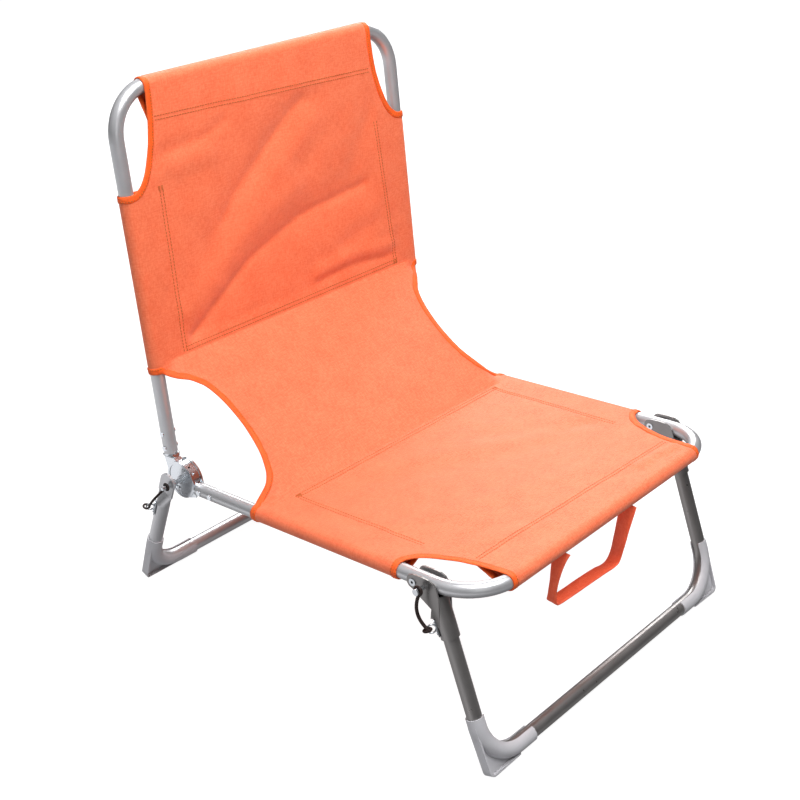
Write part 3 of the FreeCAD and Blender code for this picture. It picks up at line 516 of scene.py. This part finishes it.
def waist_width(d):
    """Half width of the cloth, on a smooth curve through WAIST."""
    if d <= WAIST[0][0] or d >= WAIST[-1][0]:
        return RAIL_X
    i = next(k for k in range(1, len(WAIST)) if WAIST[k][0] >= d)
    (d0, w0), (d1, w1) = WAIST[i - 1], WAIST[i]
    before = WAIST[max(0, i - 2)]
    after = WAIST[min(len(WAIST) - 1, i + 1)]
    m0 = (w1 - before[1]) / (d1 - before[0])
    m1 = (after[1] - w0) / (after[0] - d0)
    t = (d - d0) / (d1 - d0)
    step = d1 - d0
    a = w0 * (2 * t ** 3 - 3 * t * t + 1) + w1 * (3 * t * t - 2 * t ** 3)
    b = m0 * (t ** 3 - 2 * t * t + t) + m1 * (t ** 3 - t * t)
    return a + b * step


def end_reach(half):
    """Chord distance and slope at which a side hem ends."""
    slope = abs(CHORD.dot(half.plane.u))
    return (SEAM - half.low) * slope, slope


def middle_point(x, d):
    """Cloth stretched straight between the two cross seams."""
    half, start, way, gap = BACK_HALF, BACK_HALF.seam, CHORD, d
    if d > SPAN / 2:
        half, start, way, gap = SEAT_HALF, SEAT_HALF.seam, -CHORD, SPAN - d
    reach, slope = end_reach(half)
    e = min(gap, reach)
    on_tube = half.plane.at(SEAM - e / slope, half.over + CLOTH_R)
    weight = smooth((abs(x) - half.ease) / (RAIL_X - half.ease))
    p = BACK_HALF.seam + CHORD * d + (on_tube - start - way * e) * weight
    inside = smooth((waist_width(d) - abs(x)) / 0.05) * smooth(gap / 0.03)
    p += CHORD_N * (inside * 0.0009 * grain(x, d, 3, 0.05))
    return Vector((x, p.y, p.z))


ARC_STEPS, FLAT_STEPS = 16, 8       # points in a hem's section
CORNER_STEPS, PANEL_STEPS = 30, 65  # rows beside and below the cut-outs
FINE = 0.0016                       # row distance beside the side hems' ends
FINE_ROWS = 25
MIDDLE_ROWS = 36
FIRST_ROWS, LAST_ROWS = 6, 10       # from a cross seam to a side hem's end
COLUMNS = 141
SAME = 0.00002                      # points this close are one point


def hem_profile(length):
    """Section of a hem from a tube's top, round it, to its stitches."""
    end = Vector((-length, CLOTH_R - HEM_GAP))
    spread = math.acos(CLOTH_R / end.length)
    last = math.atan2(end.y, end.x) + spread - 2 * math.pi
    out = []
    for k in range(ARC_STEPS + 1):
        a = math.pi / 2 + (last - math.pi / 2) * k / ARC_STEPS
        n = Vector((math.cos(a), math.sin(a)))
        out.append((n * CLOTH_R, n))
    tangent, n = out[-1]
    for k in range(1, FLAT_STEPS + 1):
        out.append((tangent.lerp(end, k / FLAT_STEPS), n))
    return out


def half_rows(half):
    """Rows from a bar's stitches to the cross seam.

    Each is (place, half width, distance along the frame or None in the hem).
    """
    rows = []
    for q, _ in reversed(hem_profile(BAR_HEM)[1:]):
        rows.append((lambda x, q=q: half.round_bar(x, q),
                     RAIL_X - half.cut_x, None))
    for k in range(CORNER_STEPS + 1):
        turn = math.radians(90 * k / CORNER_STEPS)
        a = half.far - half.cut * math.sin(turn)
        rows.append((lambda x, a=a: half.top(x, a), half.width(a), a))
    for k in range(1, PANEL_STEPS + 1):
        a = half.corner + (SEAM - half.corner) * k / PANEL_STEPS
        rows.append((lambda x, a=a: half.top(x, a), RAIL_X, a))
    return rows


def chord_steps():
    """Distances along the chord, closer together beside the hems' ends."""
    first, last = end_reach(BACK_HALF)[0], SPAN - end_reach(SEAT_HALF)[0]
    fine = [FINE * k for k in range(1, FINE_ROWS + 1)]
    out = [first * k / FIRST_ROWS for k in range(1, FIRST_ROWS + 1)]
    out += [first + d for d in fine]
    low, high = out[-1], last - FINE * (FINE_ROWS + 1)
    step = (high - low) / MIDDLE_ROWS
    out += [low + step * k for k in range(1, MIDDLE_ROWS + 1)]
    out += [high + d for d in fine]
    out += [last + (SPAN - last) * k / LAST_ROWS for k in range(LAST_ROWS)]
    return out


def sling_rows():
    """All cross rows, from the back's stitches to the seat's."""
    rows = [r + ("back",) for r in half_rows(BACK_HALF)]
    reach, slope = end_reach(BACK_HALF)
    seat_reach, seat_slope = end_reach(SEAT_HALF)
    for d in chord_steps():
        place = (lambda x, d=d: middle_point(x, d))
        layer, along = "middle", None
        if d <= reach + TINY:
            layer, along = "back", SEAM - d / slope
        if d >= SPAN - seat_reach - TINY:
            layer, along = "seat", SEAM - (SPAN - d) / seat_slope
        rows.append((place, waist_width(d), along, layer))
    rows += [r + ("seat",) for r in reversed(half_rows(SEAT_HALF))]
    return rows


def build_sling():
    """The whole sewn cloth: cross rows first, then the four side hems."""
    verts, uvs, faces = [], [], []
    rows, hems = [], {"back": [], "seat": []}
    s, last = 0.0, None
    for place, width, along, layer in sling_rows():
        here = place(0.0)
        if last is not None:
            s += (here - last).length
        last = here
        row = []
        for j in range(COLUMNS):
            x = width * (2 * j / (COLUMNS - 1) - 1)
            row.append((place(x), (x, s)))
        rows.append(row)
        if along is not None and width >= RAIL_X:
            hems[layer].append((along, s))
    grid(verts, uvs, faces, rows)
    profile = hem_profile(SIDE_HEM)
    for layer, half in HALVES:
        for _, side in SIDES:
            strip = []
            for along, s in hems[layer]:
                row, u, before = [], RAIL_X, profile[0][0]
                for q, n in profile:
                    u += (q - before).length
                    before = q
                    p = half.round_rail(side, along, q)
                    row.append((p, (side * u, s)))
                strip.append(row)
            grid(verts, uvs, faces, strip)
    obj = add_mesh("sling", verts, faces, uvs, CLOTH, weld=SAME)
    thick = obj.modifiers.new("thickness", "SOLIDIFY")
    thick.thickness = CLOTH_T
    thick.offset = 0.0
    return obj


sling = build_sling()


# --------------------------------------------------------------------- tapes
# Section of the folded tape: distance from the edge, height over the cloth.
TAPE_SECTION = ((0.0083, 0.0006), (0.0079, 0.0011), (0.0060, 0.0012),
                (0.0030, 0.0013), (0.0008, 0.0011), (-0.0005, 0.0005),
                (-0.0005, -0.0002), (0.0008, -0.0007), (0.0040, -0.00075),
                (0.0083, -0.00075))
TAPE_WAVE = 0.12            # how much its width varies
PUCKER = 0.0008             # how far it lifts between stitches
CUT_STEPS, WAIST_STEPS = 40, 90     # points along a corner and the waist
AHEAD, INSIDE = 0.0004, 0.003       # to points that give an edge's direction


def hem_normal(half, side, n):
    """Outward direction at a point of a side hem's section."""
    return Vector((side * n.x, 0, 0)) + half.plane.v * n.y


def corner_path(half, side):
    """Edge, inward way and normal round one cut-out, seam to seam."""
    path = []
    u, v = half.plane.u, half.plane.v
    for q, n in reversed(hem_profile(SIDE_HEM)):
        p = half.round_rail(side, half.far - half.cut, q)
        path.append((p, -u, hem_normal(half, side, n)))
    for k in range(1, CUT_STEPS):
        t = math.radians(90 * k / CUT_STEPS)
        x = side * (RAIL_X - half.cut_x * math.sin(t))
        a = half.far - half.cut * math.cos(t)
        way = Vector((-side * math.sin(t) / half.cut_x, 0, 0))
        way -= u * (math.cos(t) / half.cut)
        path.append((half.top(x, a), way.normalized(), v))
    x = side * (RAIL_X - half.cut_x)
    for q, n in hem_profile(BAR_HEM):
        path.append((half.round_bar(x, q), Vector((-side, 0, 0)),
                     u * n.x + v * n.y))
    return path


def waist_path(side):
    """Edge, inward way and normal from the back's rail to the seat's."""
    path = []
    for q, n in reversed(hem_profile(SIDE_HEM)):
        path.append((BACK_HALF.round_rail(side, BACK_LOW, q), BACK.u,
                     hem_normal(BACK_HALF, side, n)))
    first, last = WAIST[0][0], WAIST[-1][0]
    for k in range(1, WAIST_STEPS):
        d = first + (last - first) * k / WAIST_STEPS
        p = middle_point(side * waist_width(d), d)
        ahead = middle_point(side * waist_width(d + AHEAD), d + AHEAD)
        inner = middle_point(side * (waist_width(d) - INSIDE), d)
        run = (ahead - p).normalized()
        n = run.cross(p - inner) * side
        if n.dot(CHORD_N) < 0:
            n = -n
        n.normalize()
        path.append((p, (run.cross(n) * side).normalized(), n))
    for q, n in hem_profile(SIDE_HEM):
        path.append((SEAT_HALF.round_rail(side, SEAT_LOW, q), SEAT.u,
                     hem_normal(SEAT_HALF, side, n)))
    return path


def build_tape(name, path, seed):
    """Tape folded over a cut edge, slightly puckered by its stitches."""
    verts, uvs, faces, rows = [], [], [], []
    s = 0.0
    for i, (p, way, n) in enumerate(path):
        if i:
            s += (p - path[i - 1][0]).length
        wide = 1 + TAPE_WAVE * grain(s, 0.0, seed, 0.009)
        puff = PUCKER * abs(grain(s, 0.0, seed + 1, 0.0045))
        row = []
        for a, b in TAPE_SECTION:
            lift = b + puff if b > 0 else b
            row.append((p + way * (a * wide) + n * lift, (s, a + 3 * b)))
        rows.append(row)
    grid(verts, uvs, faces, rows, closed=True)
    return add_mesh(name, verts, faces, uvs, TAPE)


tapes = []
for name, side in SIDES:
    top = build_tape("top_tape_" + name, corner_path(BACK_HALF, side), 20)
    front = build_tape("front_tape_" + name, corner_path(SEAT_HALF, side), 30)
    waist = build_tape("waist_tape_" + name, waist_path(side), 40)
    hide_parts("top_binding_" + name)
    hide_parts("front_binding_" + name)
    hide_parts("back_waist_binding_" + name,
                "seat_waist_binding_" + name, "middle_binding_" + name)
    tapes.append((name, top, front, waist))


# ------------------------------------------------------------------ stitches
STITCH_PITCH = 0.0044
STITCH_LENGTH = 0.72 * STITCH_PITCH
ROW_GAP = 0.0050            # every seam is a double row
CROSS_ROW = SEAM + 0.0045   # first row of a cross seam
# Rings of one stitch: place along it, radius, height over the cloth.
STITCH_RINGS = ((-0.5, 0.00018, -0.0002), (-0.35, 0.00052, 0.00012),
                (0.35, 0.00052, 0.00012), (0.5, 0.00018, -0.0002))
THREAD_SIDES = 6


def add_dash(verts, uvs, faces, p, run, n, length):
    """One stitch: a short bent roll of thread lying on the cloth."""
    across = run.cross(n)
    rings = []
    for t, r, height in STITCH_RINGS:
        ring = []
        for k in range(THREAD_SIDES):
            c = math.radians(360 * k / THREAD_SIDES)
            at = p + run * (t * length) + across * (r * math.cos(c))
            ring.append((at + n * (height + r * math.sin(c)),
                         (t, k / THREAD_SIDES)))
        rings.append(ring)
    grid(verts, uvs, faces, rings, closed=True)


def build_stitches(name, place, lines):
    """Rows of stitches along (x, along) lines; place gives point, normal."""
    verts, uvs, faces = [], [], []
    for (x0, a0), (x1, a1) in lines:
        length = math.hypot(x1 - x0, a1 - a0)
        count = max(1, round(length / STITCH_PITCH))
        for k in range(count):
            t, e = (k + 0.5) / count, 0.1 / count
            p, n = place(x0 + (x1 - x0) * t, a0 + (a1 - a0) * t)
            q, _ = place(x0 + (x1 - x0) * (t + e), a0 + (a1 - a0) * (t + e))
            add_dash(verts, uvs, faces, p, (q - p).normalized(), n,
                     STITCH_LENGTH)
    return add_mesh(name, verts, faces, uvs, THREAD)


def on_half(half):
    """Place function on the face of a half's cloth."""
    lift = CLOTH_T / 2 + 0.0001
    return lambda x, a: (half.top(x, a) + half.plane.v * lift, half.plane.v)


def bar_tack(x, a):
    """Four short stitches side by side, where a seam ends."""
    reach = 0.0045
    places = [a + ROW_GAP * k / 3 for k in range(4)]
    return [((x - reach, b), (x + reach, b)) for b in places]


back_lines = []
for gap in (0.0, ROW_GAP):
    back_lines.append(((-0.196, 0.473 - gap), (0.194, 0.459 - gap)))
    back_lines.append(((-0.206, CROSS_ROW + gap), (0.212, CROSS_ROW + gap)))
    back_lines.append(((-0.200 - gap, 0.381), (-0.204 - gap, 0.164)))
    back_lines.append(((0.194 + gap, 0.383), (0.207 + gap, 0.164)))
seat_lines = []
for gap in (0.0, ROW_GAP):
    seat_lines.append(((-0.192, 0.457 - gap), (0.190, 0.471 - gap)))
    seat_lines.append(((-0.202, CROSS_ROW + gap), (0.210, CROSS_ROW + gap)))
    seat_lines.append(((-0.200 - gap, 0.381), (-0.200 - gap, 0.164)))
    seat_lines.append(((0.200 + gap, 0.381), (0.204 + gap, 0.164)))
back_lines += bar_tack(-0.203, 0.381) + bar_tack(0.208, 0.164)
seat_lines += bar_tack(-0.200, 0.164) + bar_tack(0.206, 0.164)
back_stitches = build_stitches("back_stitches", on_half(BACK_HALF), back_lines)
seat_stitches = build_stitches("seat_stitches", on_half(SEAT_HALF), seat_lines)


def tape_stitches(name, path):
    """One row of stitches along a tape, near its inner edge."""
    inset, height, pitch, length = 0.0064, 0.0012, 0.0034, 0.0024
    verts, uvs, faces = [], [], []
    s, due = 0.0, 0.002
    for (p, way, n), (q, way2, n2) in zip(path, path[1:]):
        step = (q - p).length
        run = (q + way2 * inset - p - way * inset).normalized()
        while due < s + step:
            t = (due - s) / step
            up = n.lerp(n2, t)
            at = p.lerp(q, t) + way.lerp(way2, t) * inset + up * height
            add_dash(verts, uvs, faces, at, run, up.normalized(), length)
            due += pitch
        s += step
    return add_mesh(name, verts, faces, uvs, THREAD)


# --------------------------------------------------------------- carry strap
BAR = SEAT.at(SEAT_FAR, SEAT_OVER)
# x, drop below the bar's centre, half width, turn of the ribbon in degrees.
STRAP_LINE = ((-0.0930, 0.0108, 0.0118, 8), (-0.0975, 0.0200, 0.0100, 5),
              (-0.1010, 0.0350, 0.0080, 0), (-0.1035, 0.0550, 0.0066, -8),
              (-0.1045, 0.0720, 0.0066, -4), (-0.1035, 0.0790, 0.0076, 0),
              (-0.0975, 0.0830, 0.0088, 0), (-0.0700, 0.0848, 0.0095, 4),
              (-0.0300, 0.0868, 0.0100, 8), (0.0000, 0.0888, 0.0108, 14),
              (0.0180, 0.0912, 0.0115, 22), (0.0290, 0.0890, 0.0122, 26),
              (0.0355, 0.0780, 0.0126, 26), (0.0400, 0.0580, 0.0126, 22),
              (0.0440, 0.0380, 0.0126, 16), (0.0480, 0.0200, 0.0124, 8),
              (0.0500, 0.0108, 0.0122, 4))
# Section of the folded webbing: shares of its half width and half thickness.
STRAP_SECTION = ((1.0, 0.25), (0.94, 0.95), (0.5, 1.05), (0.06, 0.75),
                 (-0.06, 0.75), (-0.5, 1.05), (-0.94, 0.95), (-1.0, 0.25),
                 (-1.0, -0.25), (-0.94, -0.95), (-0.5, -1.05), (0.0, -0.9),
                 (0.5, -1.05), (0.94, -0.95), (1.0, -0.25))
STRAP_HALF_T = 0.0011
STRAP_STEPS = 8             # points from one listed place to the next


def strap_frames():
    """Smooth centre line with width way and normal."""
    line = STRAP_LINE
    out = []
    for i in range(len(line) - 1):
        four = [line[max(0, i - 1)], line[i], line[i + 1],
                line[min(len(line) - 1, i + 2)]]
        for k in range(STRAP_STEPS):
            t = k / STRAP_STEPS
            # Catmull-Rom curve through the listed places.
            out.append([0.5 * (2 * b + (c - a) * t
                               + (2 * a - 5 * b + 4 * c - d) * t * t
                               + (3 * b - a - 3 * c + d) * t ** 3)
                        for a, b, c, d in zip(*four)])
    out.append(list(line[-1]))
    frames = []
    for i, (x, drop, wide, turn) in enumerate(out):
        p = Vector((x, BAR.y, BAR.z - drop))
        ahead, behind = out[min(i + 1, len(out) - 1)], out[max(i - 1, 0)]
        run = Vector((ahead[0] - behind[0], 0, behind[1] - ahead[1]))
        run.normalize()
        n = Vector((run.z, 0, -run.x))
        c, k = math.cos(math.radians(turn)), math.sin(math.radians(turn))
        y = Vector((0, 1, 0))
        frames.append((p, y * c + n * k, n * c - y * k, wide))
    return frames


def build_strap():
    """Carry strap: one length of folded webbing, its ends on the front hem."""
    verts, uvs, faces, rows = [], [], [], []
    s, last = 0.0, None
    for p, way, n, wide in strap_frames():
        if last is not None:
            s += (p - last).length
        last = p
        row = []
        for a, b in STRAP_SECTION:
            wrinkle = 0.0003 * grain(s, a * 0.01, 60, 0.012)
            height = b * STRAP_HALF_T + wrinkle
            row.append((p + way * (a * wide) + n * height,
                        (s, a * wide + b * 0.001)))
        rows.append(row)
    grid(verts, uvs, faces, rows, closed=True)
    for first in (0, len(rows) - 1):
        base = first * len(STRAP_SECTION)
        ring = [base + k for k in range(len(STRAP_SECTION))]
        faces.append(ring if first else ring[::-1])
    return add_mesh("carry_strap_cloth", verts, faces, uvs, STRAP)


strap = build_strap()

# ------------------------------------------------------------ stage and view
STUDIO_R = 14.0


def backdrop_material():
    """Pale paper with a glow of its own, so that it stays even."""
    m, nodes, links, bsdf = material("studio_paper")
    co = node(nodes, "ShaderNodeTexCoord").outputs["Object"]
    cloud = node(nodes, "ShaderNodeTexNoise", Scale=1.5, Detail=3.0)
    links.new(co, cloud.inputs["Vector"])
    links.new(mixed(nodes, links, cloud.outputs[0], (0.21, 0.21, 0.21, 1),
                    (0.23, 0.23, 0.23, 1)), bsdf.inputs["Base Color"])
    bsdf.inputs["Roughness"].default_value = 0.9
    bsdf.inputs["Emission Color"].default_value = (1.0, 1.0, 1.0, 1.0)
    bsdf.inputs["Emission Strength"].default_value = 0.94
    return m


def backdrop(name, bm, z, paper):
    """Pale paper whose own glow neither lights the chair nor reflects in it."""
    mesh = bpy.data.meshes.new(name)
    bm.to_mesh(mesh)
    bm.free()
    mesh.materials.append(paper)
    obj = bpy.data.objects.new(name, mesh)
    scene.collection.objects.link(obj)
    obj.location = (0, 0, z)
    obj.visible_diffuse = False
    obj.visible_glossy = False
    return obj


paper = backdrop_material()
bm = bmesh.new()
bmesh.ops.create_circle(bm, cap_ends=True, radius=STUDIO_R, segments=96)
backdrop("floor", bm, -0.0005, paper)
bm = bmesh.new()
bmesh.ops.create_cone(bm, cap_ends=False, segments=96, radius1=STUDIO_R,
                      radius2=STUDIO_R, depth=STUDIO_R)
wall = backdrop("wall", bm, STUDIO_R / 2, paper)
wall.visible_shadow = False

# Brightness of the studio's light by the height of its direction.
LIGHT_BANDS = ((-1.0, 0.45), (-0.60, 1.05), (-0.46, 2.00), (-0.30, 0.90),
               (-0.05, 0.20), (0.10, 0.16), (0.26, 0.42), (0.34, 0.18),
               (0.60, 0.75), (1.0, 1.0))


def build_world():
    """Soft studio light in bands, brighter from one side."""
    world = bpy.data.worlds.new("studio")
    scene.world = world
    world.use_nodes = True
    nodes, links = world.node_tree.nodes, world.node_tree.links
    sky = nodes["Background"]
    way = node(nodes, "ShaderNodeTexCoord").outputs["Generated"]
    split = node(nodes, "ShaderNodeSeparateXYZ")
    links.new(way, split.inputs[0])
    ramp = node(nodes, "ShaderNodeValToRGB")
    stops = ramp.color_ramp.elements
    while len(stops) < len(LIGHT_BANDS):
        stops.new(0.5)
    for stop, (z, tone) in zip(stops, LIGHT_BANDS):
        stop.position = (z + 1) / 2
        stop.color = (tone, tone, tone * 1.02, 1)
    links.new(ranged(nodes, links, split.outputs[2], -1.0, 1.0, 0.0, 1.0),
              ramp.inputs[0])
    links.new(ramp.outputs[0], sky.inputs["Color"])
    side = node(nodes, "ShaderNodeVectorMath", operation="DOT_PRODUCT")
    side.inputs[1].default_value = (-0.76, 0.65, 0.0)
    links.new(way, side.inputs[0])
    tone = ranged(nodes, links, side.outputs["Value"], -0.6, 0.6, 0.45, 1.15)
    links.new(math_node(nodes, links, "MULTIPLY", tone, 0.66),
              sky.inputs["Strength"])


def area_light(name, where, target, size, watts):
    """Soft box at one place, aimed at another."""
    light = bpy.data.lights.new(name, "AREA")
    light.shape = "RECTANGLE"
    light.size, light.size_y = size
    light.energy = watts
    obj = bpy.data.objects.new(name, light)
    obj.location = where
    way = Vector(target) - Vector(where)
    obj.rotation_mode = "QUATERNION"
    obj.rotation_quaternion = way.to_track_quat("-Z", "Y")
    scene.collection.objects.link(obj)


def build_camera(where, yaw, pitch, roll, focal, shift):
    """Camera at one place, with its angles in degrees and lens in mm."""
    lens = bpy.data.cameras.new("camera")
    lens.sensor_width = 36.0
    lens.lens = focal
    lens.shift_x, lens.shift_y = shift
    camera = bpy.data.objects.new("camera", lens)
    scene.collection.objects.link(camera)
    yaw, pitch, roll = (math.radians(v) for v in (yaw, pitch, roll))
    look = Vector((math.sin(yaw) * math.cos(pitch),
                   math.cos(yaw) * math.cos(pitch), -math.sin(pitch)))
    level = Vector((math.cos(yaw), -math.sin(yaw), 0))
    upright = level.cross(look)
    right = level * math.cos(roll) + upright * math.sin(roll)
    up = upright * math.cos(roll) - level * math.sin(roll)
    turn = Matrix((right, up, -look)).transposed().to_4x4()
    camera.matrix_world = Matrix.Translation(where) @ turn
    scene.camera = camera


build_world()
area_light("overhead_box", (-0.2, -0.5, 2.2), (0.0, 0.0, 0.3), (1.3, 1.3), 54)
area_light("front_box", (-1.6, -2.2, 1.3), (0.0, 0.0, 0.3), (1.2, 1.0), 4)
area_light("rear_box", (1.7, 1.5, 1.5), (0.0, 0.0, 0.25), (1.8, 1.2), 54)
build_camera((-1.2646, -1.0283, 1.1948), yaw=49.599, pitch=29.452, roll=2.345,
             focal=62.95, shift=(-0.0041, 0.0046))
scene.view_settings.view_transform = "Standard"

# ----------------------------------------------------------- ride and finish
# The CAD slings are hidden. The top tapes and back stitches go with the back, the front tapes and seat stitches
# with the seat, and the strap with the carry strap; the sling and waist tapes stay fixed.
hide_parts("back_sling", "middle_sling", "seat_sling")
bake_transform(sling)
on_sling = []
for name, top, front, waist in tapes:
    side = dict(SIDES)[name]
    seams = {
        "top": tape_stitches("top_tape_stitches_" + name,
                             corner_path(BACK_HALF, side)),
        "front": tape_stitches("front_tape_stitches_" + name,
                               corner_path(SEAT_HALF, side)),
        "waist": tape_stitches("waist_tape_stitches_" + name,
                               waist_path(side)),
    }
    for piece in (top, seams["top"]):
        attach(piece, "back")
    for piece in (front, seams["front"]):
        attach(piece, "seat")
    for piece in (waist, seams["waist"]):
        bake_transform(piece)
    on_sling += [top, front, waist] + list(seams.values())
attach(back_stitches, "back")
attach(seat_stitches, "seat")
on_sling += [back_stitches, seat_stitches]
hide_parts("carry_strap")
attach(strap, "carry_strap")

bpy.context.view_layer.update()
